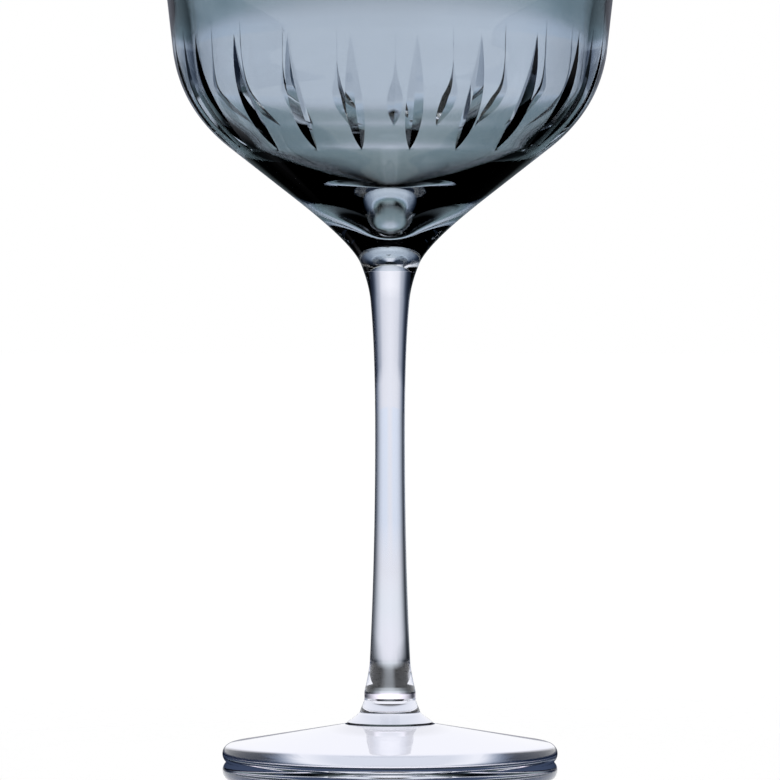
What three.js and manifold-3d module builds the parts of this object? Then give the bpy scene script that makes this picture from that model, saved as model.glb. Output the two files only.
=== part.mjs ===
// A cocktail glass in cut crystal: a smoke-tinted bowl with a ring of leaf-shaped wheel cuts,
// a drawn stem, a collar and a disc foot, each fused hot to the next.
// Millimetres, +Z up. The glass stands on its axis, Z, with the foot's resting ring on z = 0.

import * as THREE from 'three';
import { mergeVertices } from 'three/addons/utils/BufferGeometryUtils.js';
import Module from 'manifold-3d';

// Foot: a disc with a low cone on top, a rounded edge and a hollowed underside
const footRadius = 35;
const footEdgeRound = 2.2;
const footEdgeHeight = 1.7; // the widest point above the table
const footSeatRadius = 9.4; // flat top that the collar sits on
const footSeatHeight = 7.9;
const restingRingWidth = 5; // ground flat
const footHollowDepth = 1.4;

// Collar: a button of glass between the foot and the stem
const collarHeight = 5;
const collarFlangeRadius = 8.9;
const collarFlangeEdge = 0.4; // height of the flange's thin edge
const collarCreaseRadius = 6.3; // where the flange turns up into the neck
const collarCreaseHeight = 2.5; // above the foot's seat
const collarSweepAngle = 55; // degrees from the axis where the flange leaves its edge

// Stem: a drawn rod, thinnest above its middle, that flares to both ends
const stemLength = 90.9;
const stemBaseRadius = 5.35; // meets the collar
const stemBeadHeight = 1.8; // the upright band just above the collar
const stemBeadAngle = 14; // degrees from the axis where the band turns into the ankle
const stemAnkleRadius = 4.2;
const stemAnkleHeight = 8.4; // above the collar
const stemAnkleAngle = 2.8;
const stemWaistRadius = 3.1;
const stemWaistHeight = 55.5;
const stemThroatRadius = 4.07;
const stemThroatDrop = 7.5; // below the bowl
const stemThroatAngle = 5.6;

// Bowl: a lower cone that turns up through a shoulder into a slightly flared wall
const bowlHeight = 66.2;
const bowlNeckRadius = 6.05; // meets the stem
const bowlNeckAngle = 22; // degrees from the axis
const coneStartRadius = 19.3;
const coneStartHeight = 13.3; // above the stem
const coneAngle = 52;
const coneLength = 17.8;
const wallAngle = 6.4;
const wallLength = 20; // straight part below the lip
const rimRadius = 47.5;
const rimThickness = 2.8;

// Bowl, inside: a wall that thickens from the lip down, a shoulder, a sloping floor and a round well
const lipAngle = 3; // degrees from the axis where the inside leaves the lip
const wallThickness = 4.1; // square to the outside, where its straight part starts
const shoulderThickness = 3.25; // at the middle of the outer shoulder
const shoulderTaper = 0.7; // degrees that the inside stands steeper there
const coneThickness = 3.43; // at the top of the outer cone
const floorThickness = 5.3; // at the foot of the outer cone
const floorTaper = 11.15; // degrees that the floor lies flatter there
const wellRadius = 4.4; // where the well turns into the floor
const wellHeight = 10.42; // of that turn, above the stem
const wellAngle = 48.6; // degrees from the axis
const baseThickness = 8.3; // solid glass from the stem to the bottom of the well
const sweepReach = 0.35; // how far a sweep keeps its end's lean, as a share of its span

// Cuts: leaf-shaped grooves that a V-edged wheel grinds down over the shoulder
const cutCount = 21;
const cutTopDrop = 18.6; // below the rim
const cutHeight = 23.8; // along the axis
const cutDepth = 0.96;
const cutVeeAngle = 124; // degrees across the V
const cutSkew = 1.3; // above 1 the leaf is widest below its middle
const cutBluntness = 0.8; // below 1 the leaf's ends are fuller
const cutTurn = 7; // degrees from -Y to the first cut, towards +X
const cutWheelClearance = 1; // the wheel's flanks run on this far outside the glass
const cutTipClearance = 0.03; // the wheel lifts off the glass by this much at the leaf's ends

// Facets
const bowlFacets = 60;
const footFacets = 60;
const stemFacets = 32;
const chordGap = 0.04; // how far a chord of an outline may leave its curve
const cutSteps = 10;

const smokeGlass = { color: 0x8f9fb0, roughness: 0.03, metalness: 0 };
const clearGlass = { color: 0xe6ebf4, roughness: 0.03, metalness: 0 };

const wasm = await Module();
wasm.setup();

// A point of an outline: its distance from the axis and its height.
function at(radius, height) {
  return new THREE.Vector2(radius, height);
}

// A step along an outline that leans outward from the axis by an angle in degrees.
function leaning(angle, length = 1) {
  const lean = THREE.MathUtils.degToRad(angle);
  return at(Math.sin(lean), Math.cos(lean)).multiplyScalar(length);
}

// A bend that leaves its start and reaches its end at the given leans.
function bend(start, startAngle, end, endAngle) {
  const away = leaning(startAngle);
  const home = leaning(endAngle);
  const reach = end.clone().sub(start).cross(home) / away.cross(home);
  return new THREE.QuadraticBezierCurve(start, start.clone().addScaledVector(away, reach), end);
}

// A longer sweep between two leans, which keeps each of them for a share of its span.
function sweep(start, startAngle, end, endAngle) {
  const reach = start.distanceTo(end) * sweepReach;
  const away = start.clone().add(leaning(startAngle, reach));
  const home = end.clone().sub(leaning(endAngle, reach));
  return new THREE.CubicBezierCurve(start, away, home, end);
}

// A round stretch, between two angles in radians from the outward direction.
function arc(centre, radius, from, to) {
  return new THREE.EllipseCurve(centre.x, centre.y, radius, radius, from, to, to < from);
}

function straight(start, end) {
  return new THREE.LineCurve(start, end);
}

// How many chords follow a curve closely enough: each leaves it by about length x turn / 8.
function chords(curve) {
  const turn = Math.abs(curve.getTangent(0).angleTo(curve.getTangent(1)));
  return Math.max(1, Math.ceil(Math.sqrt(curve.getLength() * turn / (8 * chordGap))));
}

// The points of curves that follow one another, with each shared end kept once.
function outline(curves) {
  const points = curves.flatMap((curve) => curve.getPoints(chords(curve)));
  return points.filter((point, index) => index === 0 || point.distanceTo(points[index - 1]) > 1e-6);
}

// A solid of revolution about Z from curves that run from the axis, out and up, back to the axis.
function revolve(curves, facets) {
  return new THREE.LatheGeometry(outline(curves), facets).rotateX(Math.PI / 2);
}

// A closed geometry as a solid that can be cut.
function solidOf(geometry) {
  const bare = geometry.clone();
  bare.deleteAttribute('normal');
  bare.deleteAttribute('uv');
  const merged = mergeVertices(bare, 1e-5);
  const corners = merged.index.array;
  const triangles = [];
  for (let first = 0; first < corners.length; first += 3) {
    const [a, b, c] = corners.slice(first, first + 3);
    if (a !== b && b !== c && c !== a) triangles.push(a, b, c);
  }
  return new wasm.Manifold(new wasm.Mesh({
    numProp: 3,
    vertProperties: new Float32Array(merged.attributes.position.array),
    triVerts: new Uint32Array(triangles),
  }));
}

function geometryOf(solid) {
  const mesh = solid.getMesh();
  const geometry = new THREE.BufferGeometry();
  geometry.setAttribute('position', new THREE.BufferAttribute(mesh.vertProperties, mesh.numProp));
  geometry.setIndex(new THREE.BufferAttribute(mesh.triVerts, 1));
  geometry.computeVertexNormals();
  return geometry;
}

// The foot: its hollow underside, the resting ring, the round edge, the cone and the collar's seat.
function footGeometry() {
  const edgeCentre = at(footRadius - footEdgeRound, footEdgeHeight);
  const underAngle = -Math.asin(Math.min(footEdgeHeight / footEdgeRound, 1));
  const ringOuter = at(edgeCentre.x + footEdgeRound * Math.cos(underAngle), 0);
  const ringInner = at(ringOuter.x - restingRingWidth, 0);
  const hollowRadius = (ringInner.x ** 2 + footHollowDepth ** 2) / (2 * footHollowDepth);
  const hollowCentre = at(0, footHollowDepth - hollowRadius);
  const hollowAngle = Math.acos(ringInner.x / hollowRadius);
  const seatEdge = at(footSeatRadius, footSeatHeight);
  const toSeat = seatEdge.clone().sub(edgeCentre);
  const topAngle = toSeat.angle() - Math.acos(footEdgeRound / toSeat.length());
  const edge = arc(edgeCentre, footEdgeRound, underAngle, topAngle);
  return revolve([
    arc(hollowCentre, hollowRadius, Math.PI / 2, hollowAngle),
    straight(ringInner, ringOuter),
    edge,
    straight(edge.getPoint(1), seatEdge),
    straight(seatEdge, at(0, footSeatHeight)),
  ], footFacets);
}

// The collar: a flange that sweeps in to a crease, then a neck that tapers up to the stem.
function collarGeometry() {
  const flangeEdge = at(collarFlangeRadius, 0);
  const flangeTop = at(collarFlangeRadius, collarFlangeEdge);
  const crease = at(collarCreaseRadius, collarCreaseHeight);
  const neckTop = at(stemBaseRadius, collarHeight);
  const creaseAngle = Math.atan2(neckTop.x - crease.x, neckTop.y - crease.y) * THREE.MathUtils.RAD2DEG;
  return revolve([
    straight(at(0, 0), flangeEdge),
    straight(flangeEdge, flangeTop),
    bend(flangeTop, -collarSweepAngle, crease, creaseAngle),
    straight(crease, neckTop),
    straight(neckTop, at(0, collarHeight)),
  ], stemFacets);
}

// The stem: an upright band at the collar, then one sweep through the waist to the bowl's neck.
function stemGeometry() {
  const base = at(stemBaseRadius, 0);
  const bead = at(stemBaseRadius, stemBeadHeight);
  const ankle = at(stemAnkleRadius, stemAnkleHeight);
  const waist = at(stemWaistRadius, stemWaistHeight);
  const throat = at(stemThroatRadius, stemLength - stemThroatDrop);
  const neck = at(bowlNeckRadius, stemLength);
  return revolve([
    straight(at(0, 0), base),
    straight(base, bead),
    bend(bead, -stemBeadAngle, ankle, -stemAnkleAngle),
    bend(ankle, -stemAnkleAngle, waist, 0),
    bend(waist, 0, throat, stemThroatAngle),
    bend(throat, stemThroatAngle, neck, bowlNeckAngle),
    straight(neck, at(0, stemLength)),
  ], stemFacets);
}

const lipRadius = rimThickness / 2;
const lipCentre = at(rimRadius - lipRadius, bowlHeight - lipRadius);
const lipOuter = at(rimRadius, lipCentre.y);
const wallStart = lipOuter.clone().sub(leaning(wallAngle, wallLength));
const coneStart = at(coneStartRadius, coneStartHeight);
const coneEnd = coneStart.clone().add(leaning(coneAngle, coneLength));
const outerShoulder = bend(coneEnd, coneAngle, wallStart, wallAngle);

// The bowl's outside, from its neck up to the lip.
function bowlOutside() {
  const neck = at(bowlNeckRadius, 0);
  return [
    bend(neck, bowlNeckAngle, coneStart, coneAngle),
    straight(coneStart, coneEnd),
    outerShoulder,
    straight(wallStart, lipOuter),
  ];
}

// The point of the inside that lies this thickness from a point of the outside, square to its lean.
function inward(point, lean, thickness) {
  return point.clone().add(leaning(lean - 90, thickness));
}

// The bowl's inside, from the lip down to the bottom of the well.
function bowlInside() {
  const middle = outerShoulder.getTangent(0.5);
  const middleLean = THREE.MathUtils.radToDeg(Math.atan2(middle.x, middle.y));
  const marks = [
    { spot: at(rimRadius - rimThickness, lipCentre.y), lean: lipAngle },
    { spot: inward(wallStart, wallAngle, wallThickness), lean: wallAngle },
    { spot: inward(outerShoulder.getPoint(0.5), middleLean, shoulderThickness), lean: middleLean - shoulderTaper },
    { spot: inward(coneEnd, coneAngle, coneThickness), lean: coneAngle },
    { spot: inward(coneStart, coneAngle, floorThickness), lean: coneAngle + floorTaper },
    { spot: at(wellRadius, wellHeight), lean: wellAngle },
    { spot: at(0, baseThickness), lean: 90 },
  ];
  return marks.slice(1).map(({ spot, lean }, index) => {
    const above = marks[index];
    return sweep(above.spot, above.lean + 180, spot, lean + 180);
  });
}

// One cut: a V-shaped wedge that follows the bowl's outside and dips into it along the leaf.
function cutSolid(meridian, direction) {
  const outward = new THREE.Vector3(Math.sin(direction), -Math.cos(direction), 0);
  const sideways = new THREE.Vector3(Math.cos(direction), Math.sin(direction), 0);
  const flare = Math.tan(THREE.MathUtils.degToRad(cutVeeAngle / 2));
  const inSpace = (point) => outward.clone().multiplyScalar(point.x).setZ(point.y);
  const corners = [];
  const faces = [];
  for (let step = 0; step <= cutSteps; step += 1) {
    const along = step / cutSteps;
    const spot = meridian.pointAt(along);
    const lean = meridian.leanAt(along);
    const depth = cutDepth * Math.sin(Math.PI * along ** cutSkew) ** cutBluntness - cutTipClearance;
    const root = inSpace(spot.clone().addScaledVector(lean, -depth));
    const brow = inSpace(spot.clone().addScaledVector(lean, cutWheelClearance));
    const halfWidth = (depth + cutWheelClearance) * flare;
    corners.push(root, brow.clone().addScaledVector(sideways, halfWidth));
    corners.push(brow.clone().addScaledVector(sideways, -halfWidth));
    if (step === 0) continue;
    const here = step * 3;
    for (let side = 0; side < 3; side += 1) {
      const next = (side + 1) % 3;
      faces.push(here - 3 + side, here + next, here + side);
      faces.push(here - 3 + side, here - 3 + next, here + next);
    }
  }
  const last = cutSteps * 3;
  faces.push(0, 2, 1, last, last + 1, last + 2);
  const wedge = new THREE.BufferGeometry().setFromPoints(corners);
  wedge.setIndex(faces);
  return solidOf(wedge);
}

// The stretch of the bowl's outside that the cuts follow, from their top to their lower tip.
function cutMeridian(curves) {
  const path = new THREE.CurvePath();
  path.curves.push(...curves);
  const shareAt = (height) => {
    let low = 0;
    let high = 1;
    while (high - low > 1e-6) {
      const middle = (low + high) / 2;
      if (path.getPointAt(middle).y < height) low = middle;
      else high = middle;
    }
    return low;
  };
  const top = shareAt(bowlHeight - cutTopDrop);
  const tip = shareAt(bowlHeight - cutTopDrop - cutHeight);
  const share = (along) => THREE.MathUtils.lerp(top, tip, along);
  return {
    pointAt: (along) => path.getPointAt(share(along)),
    leanAt: (along) => {
      const tangent = path.getTangentAt(share(along));
      return at(tangent.y, -tangent.x);
    },
  };
}

// The bowl, turned about the axis and then cut.
function bowlGeometry() {
  const outside = bowlOutside();
  const inside = bowlInside();
  const turned = revolve([
    straight(at(0, 0), at(bowlNeckRadius, 0)),
    ...outside,
    arc(lipCentre, lipRadius, 0, Math.PI),
    ...inside,
  ], bowlFacets);
  const meridian = cutMeridian(outside);
  let bowl = solidOf(turned);
  for (let cut = 0; cut < cutCount; cut += 1) {
    const direction = THREE.MathUtils.degToRad(cutTurn + cut * 360 / cutCount);
    bowl = bowl.subtract(cutSolid(meridian, direction));
  }
  return geometryOf(bowl);
}

function piece(name, geometry, glass, height) {
  const mesh = new THREE.Mesh(geometry, new THREE.MeshStandardMaterial(glass));
  mesh.name = name;
  mesh.position.z = height;
  return mesh;
}

const collarBase = footSeatHeight;
const stemBase = collarBase + collarHeight;
const bowlBase = stemBase + stemLength;

const glass = new THREE.Group();
glass.add(piece('foot', footGeometry(), clearGlass, 0));
glass.add(piece('collar', collarGeometry(), clearGlass, collarBase));
glass.add(piece('stem', stemGeometry(), clearGlass, stemBase));
glass.add(piece('bowl', bowlGeometry(), smokeGlass, bowlBase));

export default glass;
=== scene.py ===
import math

import bpy
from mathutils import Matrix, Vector


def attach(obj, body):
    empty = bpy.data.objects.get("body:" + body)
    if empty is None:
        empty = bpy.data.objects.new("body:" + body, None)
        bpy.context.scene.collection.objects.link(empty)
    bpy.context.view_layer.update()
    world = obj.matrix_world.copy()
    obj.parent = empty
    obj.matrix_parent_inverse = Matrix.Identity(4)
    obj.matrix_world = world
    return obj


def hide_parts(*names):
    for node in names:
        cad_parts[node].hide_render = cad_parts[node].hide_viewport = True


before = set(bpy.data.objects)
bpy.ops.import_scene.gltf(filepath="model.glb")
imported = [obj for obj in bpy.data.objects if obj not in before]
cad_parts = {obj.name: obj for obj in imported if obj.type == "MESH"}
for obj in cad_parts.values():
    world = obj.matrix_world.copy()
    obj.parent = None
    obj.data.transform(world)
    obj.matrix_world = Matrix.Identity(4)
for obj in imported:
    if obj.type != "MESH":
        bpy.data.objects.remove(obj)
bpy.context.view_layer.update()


# The foot is a clear pressed disc. Its top slopes up to a small seat for the collar, its edge is
# fire-polished round, and below it is hollowed so that it stands on a narrow flat ring. Heights and radii
# are in millimetres here and in the sections up to the bowl's.
def leaning(angle, length=1.0):
    """A step of this length in the half outline, leaning outwards from upright by an angle in degrees."""
    turn = math.radians(angle)
    return (length * math.sin(turn), length * math.cos(turn))


def moved(point, step):
    return (point[0] + step[0], point[1] + step[1])


def straight(start, end, steps):
    """Points from start to end, without the last one."""
    return [
        (start[0] + (end[0] - start[0]) * i / steps, start[1] + (end[1] - start[1]) * i / steps)
        for i in range(steps)
    ]


def bend(start, start_angle, end, end_angle, steps):
    """Points of a soft bend that leaves start and reaches end at these leans, without the last one."""
    away = leaning(start_angle)
    home = leaning(end_angle)
    span = (end[0] - start[0], end[1] - start[1])
    reach = (span[0] * home[1] - span[1] * home[0]) / (away[0] * home[1] - away[1] * home[0])
    corner = moved(start, leaning(start_angle, reach))
    points = []
    for i in range(steps):
        t = i / steps
        near = (1 - t) * (1 - t)
        middle = 2 * t * (1 - t)
        far = t * t
        points.append(
            (
                near * start[0] + middle * corner[0] + far * end[0],
                near * start[1] + middle * corner[1] + far * end[1],
            )
        )
    return points


def arc(centre, radius, first, last, steps):
    """Points round a centre between two angles in degrees from outwards, without the last one."""
    points = []
    for i in range(steps):
        turn = math.radians(first + (last - first) * i / steps)
        points.append((centre[0] + radius * math.cos(turn), centre[1] + radius * math.sin(turn)))
    return points


mm_per_metre = 1000
crisp_corner = 24.0


def turned_glass(name, spans, turns):
    """A closed form turned from its half outline, axis to axis. A span is (points, fused): fused faces are
    where two pieces have melted together, and light goes straight on there."""
    outline = []
    fused = []
    for points, melted in spans:
        outline += points
        fused += [melted] * len(points)
    verts = []
    rings = []
    for radius, height in outline:
        up = height / mm_per_metre
        if radius < 1e-6:
            rings.append([len(verts)])
            verts.append((0.0, 0.0, up))
        else:
            rings.append(list(range(len(verts), len(verts) + turns)))
            for i in range(turns):
                turn = 2 * math.pi * i / turns
                aside = radius * math.cos(turn) / mm_per_metre
                back = radius * math.sin(turn) / mm_per_metre
                verts.append((aside, back, up))
    faces = []
    melted_faces = []
    for i in range(len(rings) - 1):
        low = rings[i]
        high = rings[i + 1]
        for j in range(turns):
            k = (j + 1) % turns
            if len(low) == 1:
                faces.append((low[0], high[k], high[j]))
            elif len(high) == 1:
                faces.append((low[j], low[k], high[0]))
            else:
                faces.append((low[j], low[k], high[k], high[j]))
            melted_faces.append(float(fused[i]))
    mesh = bpy.data.meshes.new(name)
    mesh.from_pydata(verts, [], faces)
    mesh.shade_smooth()
    mesh.set_sharp_from_angle(angle=math.radians(crisp_corner))
    mesh.attributes.new("fused", "FLOAT", "FACE").data.foreach_set("value", melted_faces)
    piece = bpy.data.objects.new(name, mesh)
    bpy.context.collection.objects.link(piece)
    return piece


def feed(tree, value, socket):
    """Sets a socket to a value, or links it where the value comes from another node."""
    if isinstance(value, bpy.types.NodeSocket):
        tree.links.new(value, socket)
    else:
        socket.default_value = value


def marked(tree, name):
    """How far a face or a point is marked with this name."""
    mark = tree.nodes.new("ShaderNodeAttribute")
    mark.attribute_name = name
    return mark.outputs["Fac"]


def graded(tree, value, ends, levels):
    """A level that goes from one of two levels to the other while a value goes from one end to the other."""
    grade = tree.nodes.new("ShaderNodeMapRange")
    grade.inputs["From Min"].default_value = ends[0]
    grade.inputs["From Max"].default_value = ends[1]
    grade.inputs["To Min"].default_value = levels[0]
    grade.inputs["To Max"].default_value = levels[1]
    tree.links.new(value, grade.inputs["Value"])
    return grade.outputs["Result"]


def worked(tree, operation, first, second, kept_to_one=False):
    """What a sum gives for two values."""
    work = tree.nodes.new("ShaderNodeMath")
    work.operation = operation
    work.use_clamp = kept_to_one
    feed(tree, first, work.inputs[0])
    feed(tree, second, work.inputs[1])
    return work.outputs["Value"]


def blended(tree, share, colour, other):
    """A colour that turns into another by a share."""
    blend = tree.nodes.new("ShaderNodeMix")
    blend.data_type = "RGBA"
    feed(tree, share, blend.inputs["Factor"])
    feed(tree, colour, blend.inputs["A"])
    feed(tree, other, blend.inputs["B"])
    return blend.outputs["Result"]


def grain(tree, scale, detail):
    """An uneven pattern through the piece."""
    place = tree.nodes.new("ShaderNodeTexCoord")
    pattern = tree.nodes.new("ShaderNodeTexNoise")
    pattern.inputs["Scale"].default_value = scale
    pattern.inputs["Detail"].default_value = detail
    tree.links.new(place.outputs["Object"], pattern.inputs["Vector"])
    return pattern.outputs["Fac"]


white = (1.0, 1.0, 1.0, 1.0)
glass_bending = 1.5
straight_on = 1.0
wave_scale = 130.0
polish_scale = 900.0
polish_worn = (0.45, 0.75)


def glass(name, stain, wave_height, polish_marks):
    """Polished glass, with the faint slow waves of hot working, a wave height in metres, and a polish that
    varies a little. Stained faces take a colour, and light passes straight through fused faces."""
    made = bpy.data.materials.new(name)
    made.use_nodes = True
    tree = made.node_tree
    body = tree.nodes["Principled BSDF"]
    body.inputs["Base Color"].default_value = white
    body.inputs["Transmission Weight"].default_value = 1.0
    surface = tree.nodes.new("ShaderNodeBump")
    surface.inputs["Distance"].default_value = wave_height
    tree.links.new(grain(tree, wave_scale, 1.0), surface.inputs["Height"])
    tree.links.new(surface.outputs["Normal"], body.inputs["Normal"])
    fused = marked(tree, "fused")
    bending = graded(tree, fused, (0.0, 1.0), (glass_bending, straight_on))
    tree.links.new(bending, body.inputs["IOR"])
    marks = graded(tree, grain(tree, polish_scale, 3.0), polish_worn, (0.0, polish_marks))
    open_faces = graded(tree, fused, (0.0, 1.0), (1.0, 0.0))
    tree.links.new(worked(tree, "MULTIPLY", marks, open_faces), body.inputs["Roughness"])
    if stain is not None:
        tint = blended(tree, marked(tree, "stained"), white, stain)
        tree.links.new(tint, body.inputs["Base Color"])
    return made


foot_radius = 35.0
foot_edge_round = 2.2
foot_edge_height = 1.7
foot_seat_radius = 9.4
foot_seat_height = 7.9
resting_ring = 5.0
foot_hollow = 1.4
foot_turns = 192
seam_gap = 0.01
clear_wave_height = 0.000006
clear_polish_marks = 0.03

edge_centre = (foot_radius - foot_edge_round, foot_edge_height)
under_angle = -math.degrees(math.asin(foot_edge_height / foot_edge_round))
ring_outer = edge_centre[0] + foot_edge_round * math.cos(math.radians(under_angle))
ring_inner = ring_outer - resting_ring
hollow_radius = (ring_inner ** 2 + foot_hollow ** 2) / (2 * foot_hollow)
hollow_centre = (0.0, foot_hollow - hollow_radius)
hollow_end = math.degrees(math.asin(ring_inner / hollow_radius))
to_seat = (foot_seat_radius - edge_centre[0], foot_seat_height - edge_centre[1])
top_angle = math.degrees(
    math.atan2(to_seat[1], to_seat[0]) - math.acos(foot_edge_round / math.hypot(*to_seat))
)
edge_top = (
    edge_centre[0] + foot_edge_round * math.cos(math.radians(top_angle)),
    edge_centre[1] + foot_edge_round * math.sin(math.radians(top_angle)),
)
seat_edge = (foot_seat_radius, foot_seat_height - seam_gap)
seat_middle = (0, foot_seat_height - seam_gap)
foot_under = arc(hollow_centre, hollow_radius, 90, 90 - hollow_end, 24)
foot_under += straight((ring_inner, 0), (ring_outer, 0), 4)
foot_outline = arc(edge_centre, foot_edge_round, under_angle, top_angle, 16)
foot_outline += straight(edge_top, seat_edge, 24)
foot_seam = straight(seat_edge, seat_middle, 2) + [seat_middle]
foot = turned_glass(
    "foot_disc", [(foot_under, True), (foot_outline, False), (foot_seam, True)], foot_turns
)
clear_glass = glass("clear_glass", None, clear_wave_height, clear_polish_marks)
foot.data.materials.append(clear_glass)
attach(foot, "root")
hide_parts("foot")


# The collar is a small clear ring of glass, melted on to join the stem to the foot. A thin flange sits on
# the foot's seat and sweeps in to a crease, and above that it widens the last of the stem.
collar_base = foot_seat_height
collar_height = 5.0
collar_flange_radius = 8.9
collar_flange_edge = 0.4
collar_crease_radius = 6.3
collar_crease_height = 2.5
collar_sweep = -55.0
collar_turns = 96
stem_base_radius = 5.35

flange_low = (collar_flange_radius, collar_base + seam_gap)
flange_top = (collar_flange_radius, collar_base + collar_flange_edge)
crease = (collar_crease_radius, collar_base + collar_crease_height)
collar_top = (stem_base_radius, collar_base + collar_height - seam_gap)
crease_angle = math.degrees(math.atan2(collar_top[0] - crease[0], collar_top[1] - crease[1]))
collar_outline = straight(flange_low, flange_top, 2)
collar_outline += bend(flange_top, collar_sweep, crease, crease_angle, 16)
collar_outline += straight(crease, collar_top, 8)
collar_foot_seam = [(0, flange_low[1]), (collar_flange_radius / 2, flange_low[1])]
collar_stem_seam = [collar_top, (stem_base_radius / 2, collar_top[1]), (0, collar_top[1])]
collar = turned_glass(
    "collar_ring",
    [(collar_foot_seam, True), (collar_outline, False), (collar_stem_seam, True)],
    collar_turns,
)
collar.data.materials.append(clear_glass)
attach(collar, "root")
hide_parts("collar")


# The stem is clear glass drawn out by hand: a short straight base, a slow taper to a waist above the
# middle, and a flare at the throat that runs on into the bowl's base.
stem_base = collar_base + collar_height
stem_length = 90.9
stem_bead_height = 1.8
stem_bead_angle = -14.0
stem_ankle = (4.2, stem_base + 8.4)
stem_ankle_angle = -2.8
stem_waist = (3.1, stem_base + 55.5)
stem_throat = (4.07, stem_base + stem_length - 7.5)
stem_throat_angle = 5.6
stem_turns = 96
bowl_neck_radius = 6.05
bowl_neck_angle = 22.0

stem_low = (stem_base_radius, stem_base + seam_gap)
stem_top = (bowl_neck_radius, stem_base + stem_length - seam_gap)
stem_bead = (stem_base_radius, stem_base + stem_bead_height)
stem_outline = straight(stem_low, stem_bead, 4)
stem_outline += bend(stem_bead, stem_bead_angle, stem_ankle, stem_ankle_angle, 16)
stem_outline += bend(stem_ankle, stem_ankle_angle, stem_waist, 0.0, 48)
stem_outline += bend(stem_waist, 0.0, stem_throat, stem_throat_angle, 40)
stem_outline += bend(stem_throat, stem_throat_angle, stem_top, bowl_neck_angle, 20)
stem_foot_seam = [(0, stem_low[1]), (stem_base_radius / 2, stem_low[1])]
stem_bowl_seam = [stem_top, (bowl_neck_radius / 2, stem_top[1]), (0, stem_top[1])]
stem = turned_glass(
    "stem_rod", [(stem_foot_seam, True), (stem_outline, False), (stem_bowl_seam, True)], stem_turns
)
stem.data.materials.append(clear_glass)
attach(stem, "root")
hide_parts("stem")


# The bowl is smoke-tinted blown glass with a heavy base. After cooling, a wheel has ground upright
# leaf-shaped grooves round its shoulder, each a shallow V with a sharp root, and they have been polished
# clear.
bowl_base = stem_base + stem_length
bowl_height = 66.2
cone_start = (19.3, bowl_base + 13.3)
cone_angle = 52.0
cone_length = 17.8
wall_angle = 6.4
wall_length = 20.0
rim_radius = 47.5
rim_thickness = 2.8
lip_angle = 3.0
wall_thickness = 4.1
shoulder_thickness = 3.25
shoulder_taper = 0.7
cone_thickness = 3.43
floor_thickness = 5.3
floor_taper = 11.15
well_turn = (4.4, bowl_base + 10.42)
well_angle = 48.6
base_thickness = 8.3

lip = rim_thickness / 2
lip_outer = (rim_radius, bowl_base + bowl_height - lip)
wall_start = moved(lip_outer, leaning(wall_angle, -wall_length))
cone_end = moved(cone_start, leaning(cone_angle, cone_length))
neck = (bowl_neck_radius, bowl_base + seam_gap)
outside = bend(neck, bowl_neck_angle, cone_start, cone_angle, 36)
outside += straight(cone_start, cone_end, 40)
outside += bend(cone_end, cone_angle, wall_start, wall_angle, 72)
outside += straight(wall_start, lip_outer, 40)
outside += [lip_outer]


def inward(point, angle, thickness):
    """The point of the inside that lies this thickness from one of the outside, square to its lean."""
    return moved(point, leaning(angle - 90, thickness))


sweep_hold = 0.35


def sweep(start, start_angle, end, end_angle, steps):
    """Points of a longer sweep that keeps each end's lean for a third of its span, without the last one."""
    reach = sweep_hold * math.dist(start, end)
    away = moved(start, leaning(start_angle, reach))
    home = moved(end, leaning(end_angle, -reach))
    points = []
    for i in range(steps):
        t = i / steps
        shares = ((1 - t) ** 3, 3 * t * (1 - t) ** 2, 3 * t * t * (1 - t), t ** 3)
        spots = (start, away, home, end)
        points.append(tuple(sum(share * spot[k] for share, spot in zip(shares, spots)) for k in (0, 1)))
    return points


lip_steps = 14
inside_steps = 26
shoulder_middle = bend(cone_end, cone_angle, wall_start, wall_angle, 2)[1]
shoulder_lean = math.degrees(math.atan2(wall_start[0] - cone_end[0], wall_start[1] - cone_end[1]))
floor_height = bowl_base + base_thickness
inside_marks = (
    ((rim_radius - rim_thickness, lip_outer[1]), lip_angle),
    (inward(wall_start, wall_angle, wall_thickness), wall_angle),
    (inward(shoulder_middle, shoulder_lean, shoulder_thickness), shoulder_lean - shoulder_taper),
    (inward(cone_end, cone_angle, cone_thickness), cone_angle),
    (inward(cone_start, cone_angle, floor_thickness), cone_angle + floor_taper),
    (well_turn, well_angle),
    ((0.0, floor_height), 90.0),
)
inside = arc((rim_radius - lip, lip_outer[1]), lip, 0, 180, lip_steps)[1:]
for (above, above_lean), (below, below_lean) in zip(inside_marks, inside_marks[1:]):
    inside += sweep(above, above_lean + 180, below, below_lean + 180, inside_steps)

# The wheel cuts: a leaf's width along its length, the tilt of its two faces, and the mesh columns along it.
cut_count = 21
cut_turn = 7.0
cut_top = bowl_base + bowl_height - 18.6
cut_tip = bowl_base + 23.8
cut_half_width = 1.8
cut_tilt_top = 28.0
cut_tilt_tip = 38.0
cut_skew = 1.3
cut_bluntness = 0.8
tilt_change_start = 0.7
tilt_change_length = 0.12
no_cut_angle = 0.12
across = (-1.0, -0.5, 0.0, 0.5, 1.0)
crisp_columns = (0, 2, 4)
between_cuts = 9
cut_columns = len(across) + between_cuts
columns = cut_count * cut_columns

outside_runs = [0.0]
for a, b in zip(outside, outside[1:]):
    outside_runs.append(outside_runs[-1] + math.hypot(b[0] - a[0], b[1] - a[1]))


def run_to(height):
    """How far along the bowl's outside this height is."""
    for run, a, b in zip(outside_runs, outside, outside[1:]):
        if a[1] <= height <= b[1]:
            return run + (height - a[1]) / (b[1] - a[1]) * math.hypot(b[0] - a[0], b[1] - a[1])


def bowl_point(radius, bearing, height):
    """A point of the bowl, at a bearing from the front."""
    return (
        radius * math.sin(bearing) / mm_per_metre,
        -radius * math.cos(bearing) / mm_per_metre,
        height / mm_per_metre,
    )


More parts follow.
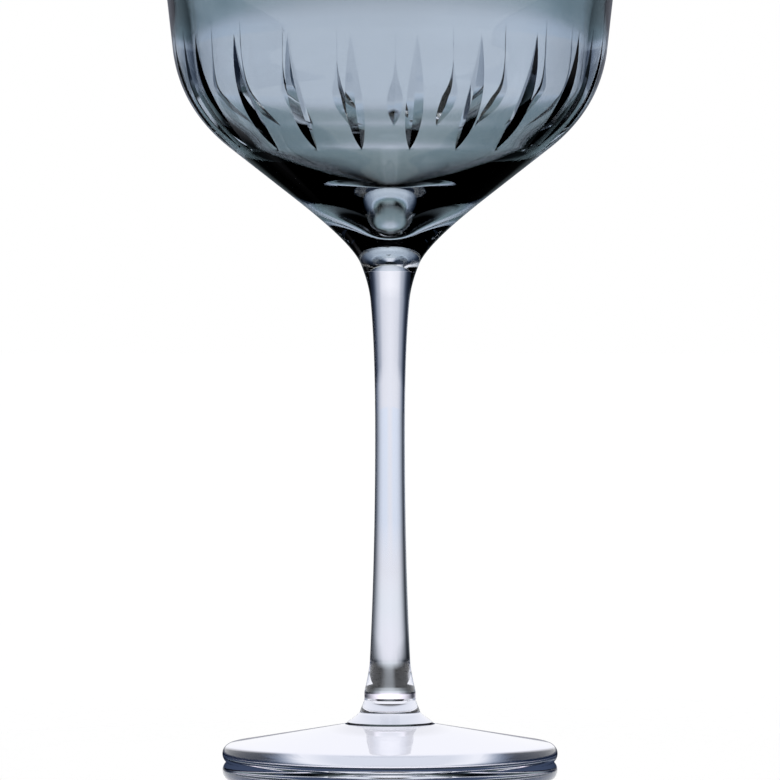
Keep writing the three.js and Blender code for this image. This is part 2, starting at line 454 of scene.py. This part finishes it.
top_run = run_to(cut_top)
tip_run = run_to(cut_tip)
cut_bearings = [math.radians(cut_turn + 360 * i / cut_count) for i in range(cut_count)]
cut_spans = list(zip(cut_bearings, cut_bearings[1:] + [cut_bearings[0] + 2 * math.pi]))
bowl_verts = []
bowl_rings = []
ring_depths = []
for i, (radius, height) in enumerate(outside):
    before = outside[max(i - 1, 0)]
    after = outside[min(i + 1, len(outside) - 1)]
    lean = math.atan2(after[0] - before[0], after[1] - before[1])
    share = (top_run - outside_runs[i]) / (top_run - tip_run)
    depth = 0.0
    half = math.radians(no_cut_angle)
    if 0.0 < share < 1.0:
        half_width = cut_half_width * math.sin(math.pi * share ** cut_skew) ** cut_bluntness
        eased = min(max((share - tilt_change_start) / tilt_change_length, 0.0), 1.0)
        tilt = cut_tilt_top + (cut_tilt_tip - cut_tilt_top) * eased * eased * (3 - 2 * eased)
        depth = half_width * math.tan(math.radians(tilt))
        half = max(half_width / radius, half)
    ring_depths.append(depth)
    bowl_rings.append(list(range(len(bowl_verts), len(bowl_verts) + columns)))
    for here, there in cut_spans:
        bearings = [here + half * s for s in across]
        sinks = [depth * (1 - abs(s)) for s in across]
        for j in range(between_cuts):
            part = (j + 1) / (between_cuts + 1)
            bearings.append(here + half + (there - here - 2 * half) * part)
            sinks.append(0.0)
        for bearing, sink in zip(bearings, sinks):
            out = radius - sink * math.cos(lean)
            up = height + sink * math.sin(lean)
            bowl_verts.append(bowl_point(out, bearing, up))
for radius, height in inside:
    bowl_rings.append(list(range(len(bowl_verts), len(bowl_verts) + columns)))
    for here, there in cut_spans:
        for j in range(cut_columns):
            bearing = here + (there - here) * (j - len(across) // 2) / cut_columns
            bowl_verts.append(bowl_point(radius, bearing, height))

# The smoke colour lies on the outside, up over the top of the lip. The bowl's base is melted on to the stem.
stain_over_lip = 5
bowl_faces = []
bowl_melted = []
bowl_stained = []
for i, (low, high) in enumerate(zip(bowl_rings, bowl_rings[1:])):
    for j in range(columns):
        k = (j + 1) % columns
        bowl_faces.append((low[j], low[k], high[k], high[j]))
        bowl_melted.append(0.0)
        bowl_stained.append(1.0 if i < len(outside) + stain_over_lip else 0.0)
floor_point = len(bowl_verts)
bowl_verts.append((0.0, 0.0, floor_height / mm_per_metre))
seam_point = len(bowl_verts)
bowl_verts.append((0.0, 0.0, neck[1] / mm_per_metre))
for j in range(columns):
    k = (j + 1) % columns
    bowl_faces.append((bowl_rings[-1][j], bowl_rings[-1][k], floor_point))
    bowl_faces.append((bowl_rings[0][k], bowl_rings[0][j], seam_point))
    bowl_melted += [0.0, 1.0]
    bowl_stained += [0.0, 0.0]
bowl_mesh = bpy.data.meshes.new("bowl_cut")
bowl_mesh.from_pydata(bowl_verts, [], bowl_faces)
bowl_mesh.shade_smooth()
bowl_mesh.attributes.new("fused", "FLOAT", "FACE").data.foreach_set("value", bowl_melted)
bowl_mesh.attributes.new("stained", "FLOAT", "FACE").data.foreach_set("value", bowl_stained)
crisp_pairs = set()
for j in range(columns):
    crisp_pairs.add((bowl_rings[0][j], bowl_rings[0][(j + 1) % columns]))
for i in range(len(outside) - 1):
    if max(ring_depths[i], ring_depths[i + 1]) > 0:
        for k in range(cut_count):
            for j in crisp_columns:
                column = k * cut_columns + j
                crisp_pairs.add((bowl_rings[i][column], bowl_rings[i + 1][column]))
for edge in bowl_mesh.edges:
    a, b = edge.vertices
    if (a, b) in crisp_pairs or (b, a) in crisp_pairs:
        edge.use_edge_sharp = True
bowl = bpy.data.objects.new("bowl_cut", bowl_mesh)
bpy.context.collection.objects.link(bowl)
smoke_stain = (0.533, 0.616, 0.667, 1.0)
smoke_wave_height = 0.000004
smoke_polish_marks = 0.04
smoke_glass = glass("smoke_glass", smoke_stain, smoke_wave_height, smoke_polish_marks)
bowl.data.materials.append(smoke_glass)
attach(bowl, "root")
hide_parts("bowl")


# The table is a sheet of white paper board, polished where the glass stands. The camera sees it as white,
# with the glass's shadow and mirror image. Through the glass it glows with painted light: a painted lit
# strip straight behind and painted dark to its sides, painted pools of light, and under the foot a painted
# bright patch, painted shade and a painted dark mirror image.
def between(value, steps):
    """The level at a value, from (value, level) steps."""
    if value <= steps[0][0]:
        return steps[0][1]
    for a, b in zip(steps, steps[1:]):
        if value <= b[0]:
            return a[1] + (b[1] - a[1]) * (value - a[0]) / (b[0] - a[0])
    return steps[-1][1]


def stage_material(name):
    """A material of the stage that lights no other piece, its node tree and its light path."""
    made = bpy.data.materials.new(name)
    made.use_nodes = True
    made.cycles.emission_sampling = "NONE"
    tree = made.node_tree
    tree.nodes.remove(tree.nodes["Principled BSDF"])
    return made, tree, tree.nodes.new("ShaderNodeLightPath").outputs


def stage_sheet(name, verts, faces, glow, levels, material):
    """A sheet of the stage, with its glow's colour and other named levels at its points."""
    mesh = bpy.data.meshes.new(name)
    mesh.from_pydata(verts, [], faces)
    tones = [part for colour in glow for part in (*colour, 1.0)]
    mesh.attributes.new("glow", "FLOAT_COLOR", "POINT").data.foreach_set("color", tones)
    for level, values in levels.items():
        mesh.attributes.new(level, "FLOAT", "POINT").data.foreach_set("value", values)
    mesh.materials.append(material)
    sheet = bpy.data.objects.new(name, mesh)
    bpy.context.collection.objects.link(sheet)
    return sheet


def sheet_glow(tree):
    glow = tree.nodes.new("ShaderNodeAttribute")
    glow.attribute_name = "glow"
    return glow.outputs["Color"]


def tinted(tree, operation, colour, other):
    """What a sum gives for two colours, or for a colour and a level."""
    work = tree.nodes.new("ShaderNodeVectorMath")
    work.operation = operation
    feed(tree, colour, work.inputs[0])
    feed(tree, other, work.inputs[1])
    return work.outputs["Vector"]


def glowing(tree, colour, strength=1.0):
    light = tree.nodes.new("ShaderNodeEmission")
    feed(tree, colour, light.inputs["Color"])
    light.inputs["Strength"].default_value = strength
    return light.outputs["Emission"]


def either(tree, share, shader, other):
    """One shader that gives way to another by a share."""
    choice = tree.nodes.new("ShaderNodeMixShader")
    tree.links.new(share, choice.inputs["Fac"])
    tree.links.new(shader, choice.inputs[1])
    tree.links.new(other, choice.inputs[2])
    return choice.outputs["Shader"]


def facing(dip):
    """How far a sheet turns away from light that dips below level by so many degrees."""
    return 1 - math.sin(math.radians(dip))


def dip_step(tree, slant, dips, levels=(0.0, 1.0)):
    """A level that changes between two dips."""
    return graded(tree, slant, (facing(dips[0]), facing(dips[1])), levels)


def dip_ramp(tree, slant, stops):
    """A colour by the dip, from (dip, colour) stops."""
    shades = tree.nodes.new("ShaderNodeValToRGB")
    ramp = shades.color_ramp
    ramp.elements.remove(ramp.elements[0])
    for i, (dip, colour) in enumerate(stops):
        stop = ramp.elements[0] if i == 0 else ramp.elements.new(facing(dip))
        stop.position = facing(dip)
        stop.color = (*colour, 1)
    tree.links.new(slant, shades.inputs["Fac"])
    return shades.outputs["Color"]


# The colour of the painted light on the table and boards, at its full level.
painted_glow_red, painted_glow_green, painted_glow_blue = (0.83, 0.85, 0.95)
red_loss = 0.7


def dimmed(level, blueness):
    """The colour of the light painted on the white paper at a level: a little bluer as it gets dimmer."""
    return (
        painted_glow_red * level ** (1 + red_loss * blueness),
        painted_glow_green * level,
        painted_glow_blue * level ** (1 - blueness),
    )


# The table's painted light by the dip of the ray that meets it, a painted reflection when grazing and
# painted
# shade when steep: (dip, level, red), a little greener when steep.
painted_dip_light = (
    (0, 1.0, 1.0), (3.6, 0.95, 1.0), (4.6, 0.86, 1.0), (5.4, 0.73, 0.97), (6.4, 0.6, 0.91),
    (8, 0.49, 0.86), (10, 0.44, 0.83), (15, 0.35, 0.83), (20, 0.25, 0.83), (30, 0.11, 0.83),
    (45, 0.03, 0.83), (60, 0.02, 0.83), (90, 0.01, 0.83),
)
blue_follows_red = 0.25
# The painted lit strip narrows the light past these dips; the painted pools of light show in these windows.
strip_dips = (9, 13)
pool_windows = {
    "pool_right": ((18, 0.0), (22, 1.0), (33, 1.0), (40, 0.0)),
    "pool_behind": ((7, 0.0), (11, 1.0), (28, 1.0), (40, 0.0)),
}
# Under the foot: a painted bright patch, a painted dark mirror image, and painted shade at steep dips.
painted_foot_light = (0.87, 0.88, 0.99)
painted_foot_mirror_dark = (0.05, 0.07, 0.13, 1)
foot_flat_dips = (34, 24)
foot_steep_dips = (78, 66)
foot_steep_levels = (0.06, 1.0)
foot_passes = 2.5
foot_covers = 0.3
# Seen mirrored rather than through the glass, the table's painted light is dimmed to the first level.
painted_mirror_levels = (0.27, 1.0)
shadow_share = 0.14
paper_grey = 0.8
table_bending = 1.5

table_white, tree, path = stage_material("table_white")
layer = tree.nodes.new("ShaderNodeLayerWeight")
layer.inputs["Blend"].default_value = 0.5
slant = layer.outputs["Facing"]
# Painted reflection and shade by the dip of the ray.
painted_by_dip = dip_ramp(
    tree,
    slant,
    [
        (dip, (level * red, level, level * (1 - blue_follows_red + blue_follows_red * red)))
        for dip, level, red in painted_dip_light
    ],
)
# A painted lit strip straight behind the glass, and painted pools of light to its right and behind it.
strip = blended(tree, dip_step(tree, slant, strip_dips), white, marked(tree, "strip"))
open_look = tinted(tree, "MULTIPLY", painted_by_dip, tinted(tree, "MULTIPLY", strip, sheet_glow(tree)))
for name, window in pool_windows.items():
    stops = [(dip, (painted_glow_red * level, painted_glow_green * level, painted_glow_blue * level)) for dip, level in window]
    pool = tinted(tree, "MULTIPLY", dip_ramp(tree, slant, stops), marked(tree, name))
    open_look = tinted(tree, "ADD", open_look, pool)
# Under the foot: the painted bright patch, the painted dark mirror image for mirrored light, and painted
# shade at steep dips.
under_foot = marked(tree, "under_foot")
inner = worked(tree, "MAXIMUM", dip_step(tree, slant, foot_flat_dips), path["Glossy Depth"])
foot_look = blended(tree, inner, tinted(tree, "MULTIPLY", painted_foot_light, under_foot), sheet_glow(tree))
foot_only = worked(tree, "LESS_THAN", path["Transmission Depth"], foot_passes)
bounced = worked(tree, "MULTIPLY", foot_only, path["Glossy Depth"], kept_to_one=True)
foot_look = blended(tree, bounced, foot_look, painted_foot_mirror_dark)
foot_look = tinted(tree, "MULTIPLY", foot_look, dip_step(tree, slant, foot_steep_dips, foot_steep_levels))
covered = worked(tree, "GREATER_THAN", under_foot, foot_covers)
table_look = blended(tree, covered, open_look, foot_look)
# Mirrored, the painted light is dimmed: a painted darker reflection.
mirrored = graded(tree, path["Is Transmission Ray"], (0.0, 1.0), painted_mirror_levels)
through = glowing(tree, tinted(tree, "MULTIPLY", table_look, mirrored))
shaded = tree.nodes.new("ShaderNodeBsdfDiffuse")
shaded.inputs["Color"].default_value = (paper_grey, paper_grey, paper_grey, 1)
paper = tree.nodes.new("ShaderNodeAddShader")
tree.links.new(glowing(tree, white, 1 - shadow_share), paper.inputs[0])
tree.links.new(shaded.outputs["BSDF"], paper.inputs[1])
polish = tree.nodes.new("ShaderNodeBsdfGlossy")
polish.inputs["Color"].default_value = white
polish.inputs["Roughness"].default_value = 0.0
gloss = tree.nodes.new("ShaderNodeFresnel")
gloss.inputs["IOR"].default_value = table_bending
polished = worked(tree, "MULTIPLY", gloss.outputs["Fac"], marked(tree, "polish"), kept_to_one=True)
coat = either(tree, polished, paper.outputs["Shader"], polish.outputs["BSDF"])
seen = either(tree, path["Is Camera Ray"], through, coat)
tree.links.new(seen, tree.nodes["Material Output"].inputs["Surface"])

# Where the painted light falls off to the sides: (degrees from the middle, level), above level and low down.
fall_off = (
    (0, 1.0), (6, 0.97), (12, 0.92), (18, 0.86), (21, 0.78), (24, 0.62), (27, 0.5), (31, 0.43), (34, 0.36),
    (38, 0.22), (43, 0.1), (50, 0.04), (60, 0.02),
)
low_left = (
    (0, 1.0), (17, 0.95), (23, 0.87), (29, 0.71), (34, 0.5), (40, 0.28), (46, 0.1), (52, 0.03), (60, 0.02),
)
low_right = (
    (0, 1.0), (17, 0.96), (23, 0.88), (29, 0.74), (35, 0.55), (40, 0.4), (46, 0.24), (55, 0.12), (70, 0.02),
)
# How the painted lit strip and the painted pools of light fall off to the sides, and where the pools lie.
strip_left = ((3.5, 1.0), (5.5, 0.7), (7, 0.4), (8.5, 0.12), (10, 0.03))
strip_right = ((5, 1.0), (8, 0.7), (11, 0.45), (13, 0.2), (15, 0.05))
pool_fall_off = ((0, 1.0), (18, 0.9), (25, 0.6), (32, 0.25), (38, 0.05), (46, 0.0))
boards = (("board_back", 0, 1.0), ("board_side", -90, 0.62))
pool_middles = {"pool_right": (-57, 0.55), "pool_behind": (135, 1.0)}


def sided(turn, left, right):
    """The level at a turn in degrees to the right of a middle."""
    return between(-turn, left) if turn < 0 else between(turn, right)


def apart(turn, middle):
    """Degrees from a middle, to its right or left."""
    return (turn - middle + 180) % 360 - 180


def board_turns(turn):
    """Degrees from each board's middle, as on a board of full width."""
    return [apart(turn, middle) / width for name, middle, width in boards]


# How the painted light changes with the distance from the glass's axis: (metres, level).
near_narrowing = 1.5
near_to_far = ((0.14, 0.0), (0.23, 1.0))
closer = ((0.07, 0.95), (0.14, 0.75), (0.23, 0.56), (0.35, 0.34), (0.5, 0.12), (0.8, 0.0))
neutral_near = ((0.14, 1.0), (0.35, 0.0))
neutral_red = 0.14
neutral_blue = 0.04
cool_turns = ((2, 0.0), (9, 1.0))
cool_far = ((0.5, 0.0), (0.8, 1.0))
cooling = 0.06
table_blueness = 0.05
strip_closer = ((0.1, 0.4), (0.14, 0.45), (0.23, 0.75), (0.35, 1.0))
strip_ends = ((0.35, 0.0), (0.5, 1.0))
pool_reach = ((0.0362, 0.0), (0.05, 1.0), (0.6, 1.0), (1.0, 0.0))
polish_reach = ((0.07, 1.55), (0.23, 0.0))

# Under the foot and just round it, the painted light lies in a narrow bar from front to back.
foot_shade = 0.0361
foot_round = 0.05
foot_cover = ((0.007, 0.84), (0.012, 1.0), (0.036, 1.0), (0.0362, 0.0))
foot_bar = ((0.004, 0.82), (0.009, 1.0), (0.011, 1.0), (0.014, 0.35), (0.017, 0.02))
foot_bar_splay = 0.33
round_bar = ((0.004, 0.9), (0.008, 0.03))
foot_blueness = 0.2


def table_light(reach, turn, spot):
    """The colour of the light painted on the table at a distance and a turn from straight behind the glass.
    """
    if reach < foot_shade:
        return dimmed(between(abs(spot[0]) + foot_bar_splay * spot[1], foot_bar), foot_blueness)
    if reach < foot_round:
        return dimmed(between(abs(spot[0]), round_bar), foot_blueness)
    near = max(between(near_narrowing * abs(aside), fall_off) for aside in board_turns(turn))
    far = max(sided(aside, low_left, low_right) for aside in board_turns(turn))
    red, green, blue = dimmed(near + (far - near) * between(reach, near_to_far), table_blueness)
    boost = 1 + between(reach, closer)
    neutral = between(reach, neutral_near)
    cool = between(abs(turn), cool_turns) * between(reach, cool_far)
    return (
        red * boost * (1 + neutral_red * neutral) * (1 - cooling * cool),
        green * boost,
        blue * boost * (1 + neutral_blue * neutral) * (1 + cooling * cool),
    )


def strip_level(reach, turn):
    """How much of the painted lit strip straight behind the glass is left at a distance and a turn."""
    aside = min(board_turns(turn), key=abs)
    narrow = sided(aside, strip_left, strip_right) * between(reach, strip_closer)
    return narrow + (1 - narrow) * between(reach, strip_ends)


table_turns = 120
table_reaches = (
    0.001, 0.008, 0.012, 0.016, 0.02, 0.024, 0.029, 0.033, 0.036, 0.0362, 0.042, 0.047, 0.052,
    0.07, 0.1, 0.14, 0.23, 0.35, 0.5, 0.8, 2.0, 4.0, 6.0,
)
table_level = -0.00002
verts = []
faces = []
glow = []
levels = {"under_foot": [], "polish": [], "strip": [], "pool_right": [], "pool_behind": []}
# Each point takes its painted light, and the levels of its painted strip, painted pools, polish and foot's
# cover.
for i, reach in enumerate(table_reaches):
    for j in range(table_turns):
        turn = 360 * j / table_turns
        if turn > 180:
            turn -= 360
        spot = (reach * math.sin(math.radians(turn)), reach * math.cos(math.radians(turn)), table_level)
        verts.append(spot)
        glow.append(table_light(reach, turn, spot))
        levels["under_foot"].append(between(reach, foot_cover))
        levels["polish"].append(between(reach, polish_reach))
        levels["strip"].append(strip_level(reach, turn))
        for name, (middle, width) in pool_middles.items():
            pool = between(abs(apart(turn, middle)) / width, pool_fall_off)
            levels[name].append(pool * between(reach, pool_reach))
        if i > 0:
            k = (j + 1) % table_turns
            outer = table_turns * i
            inner = outer - table_turns
            faces.append((inner + j, inner + k, outer + k, outer + j))
faces.append(tuple(reversed(range(table_turns))))
stage_sheet("table", verts, faces, glow, levels, table_white)


# The boards are two tall curved sheets of white paper, far behind the glass and far to its side. Seen
# through the glass they glow with painted light, bright in the middle and fading to dark at their edges,
# which draws the dark lines along the glass's edges.
board_distance = 4.0
board_half_width = 60
board_step = 2
board_rises = (0, 1, 1.8, 8, 16, 24, 32, 40, 48, 56, 62, 68, 72)
board_narrowing = 80
board_brighter = ((8, 1.0), (16, 1.15))
board_low_to_high = ((1, 0.0), (1.8, 1.0))
board_blueness = 0.13

board_white, tree, path = stage_material("board_white")
# White to the camera; through the glass, the board's painted glow.
paper = glowing(tree, blended(tree, path["Is Camera Ray"], sheet_glow(tree), white))
tree.links.new(paper, tree.nodes["Material Output"].inputs["Surface"])
for name, middle, width in boards:
    verts = []
    faces = []
    glow = []
    rows = len(board_rises)
    for turn in range(-board_half_width, board_half_width + 1, board_step):
        bearing = math.radians(middle + turn * width)
        for rise in board_rises:
            height = board_distance * math.tan(math.radians(rise))
            verts.append((board_distance * math.sin(bearing), board_distance * math.cos(bearing), height))
            # The painted glow at each point: falling off to the sides, a little brighter high up, and its
            # own fall-off low down.
            narrowed = abs(turn) * (1 + rise / board_narrowing)
            high = between(narrowed, fall_off) * between(rise, board_brighter)
            low = sided(turn, low_left, low_right)
            level = low + (high - low) * between(rise, board_low_to_high)
            glow.append(dimmed(level, board_blueness))
    for i in range(2 * board_half_width // board_step):
        for j in range(rows - 1):
            here = rows * i + j
            faces.append((here, here + rows, here + rows + 1, here + 1))
    board = stage_sheet(name, verts, faces, glow, {}, board_white)
    board.visible_glossy = False
    board.visible_diffuse = False
    board.visible_shadow = False


# The room is white to the camera and black through the glass. Mirrored in the glass, it has a white ceiling
# that comes down to just above the table, and a dim grey below that.
room_black = (0.004, 0.005, 0.006, 1)
room_dim = (0.2, 0.21, 0.25, 1)
ceiling_ends = (1.5, 3.6)

room = bpy.data.worlds.new("studio")
bpy.context.scene.world = room
room.use_nodes = True
tree = room.node_tree
path = tree.nodes.new("ShaderNodeLightPath").outputs
direction = tree.nodes.new("ShaderNodeTexCoord")
parts = tree.nodes.new("ShaderNodeSeparateXYZ")
tree.links.new(direction.outputs["Generated"], parts.inputs["Vector"])
ends = [math.sin(math.radians(end)) for end in ceiling_ends]
overhead = graded(tree, parts.outputs["Z"], ends, (0.0, 1.0))
overhead.node.interpolation_type = "SMOOTHSTEP"
ceiling = blended(tree, overhead, room_dim, white)
mirrored = blended(tree, path["Is Glossy Ray"], room_black, ceiling)
through = blended(tree, path["Is Transmission Ray"], mirrored, room_black)
seen = blended(tree, path["Is Camera Ray"], through, white)
tree.links.new(seen, tree.nodes["Background"].inputs["Color"])


# A broad soft lamp hangs overhead. Only the table takes its light, for the glass's faint shadow.
lamp_spread = 50
lamp_light = bpy.data.lights.new("overhead_lamp", "SUN")
lamp_light.energy = math.pi * shadow_share / paper_grey
lamp_light.angle = math.radians(lamp_spread)
lamp = bpy.data.objects.new("overhead_lamp", lamp_light)
bpy.context.collection.objects.link(lamp)
lamp.visible_glossy = False
lamp.visible_transmission = False


# The camera stands a little above the table, far back with a long lens, as for a catalogue picture.
camera_spot = (0.0, -1.585, 0.119)
camera_aim = (0.0, 0.0, 0.0776)
camera_lens = bpy.data.cameras.new("camera")
camera_lens.lens = 350.8
camera_lens.sensor_width = 36.0
camera_lens.clip_end = 40.0
camera = bpy.data.objects.new("camera", camera_lens)
bpy.context.collection.objects.link(camera)
camera.location = camera_spot
camera.rotation_euler = (Vector(camera_aim) - Vector(camera_spot)).to_track_quat("-Z", "Y").to_euler()
bpy.context.scene.camera = camera

scene = bpy.context.scene
scene.view_settings.view_transform = "Standard"
scene.cycles.max_bounces = 20
scene.cycles.transmission_bounces = 16
scene.cycles.glossy_bounces = 3
scene.cycles.transparent_max_bounces = 32
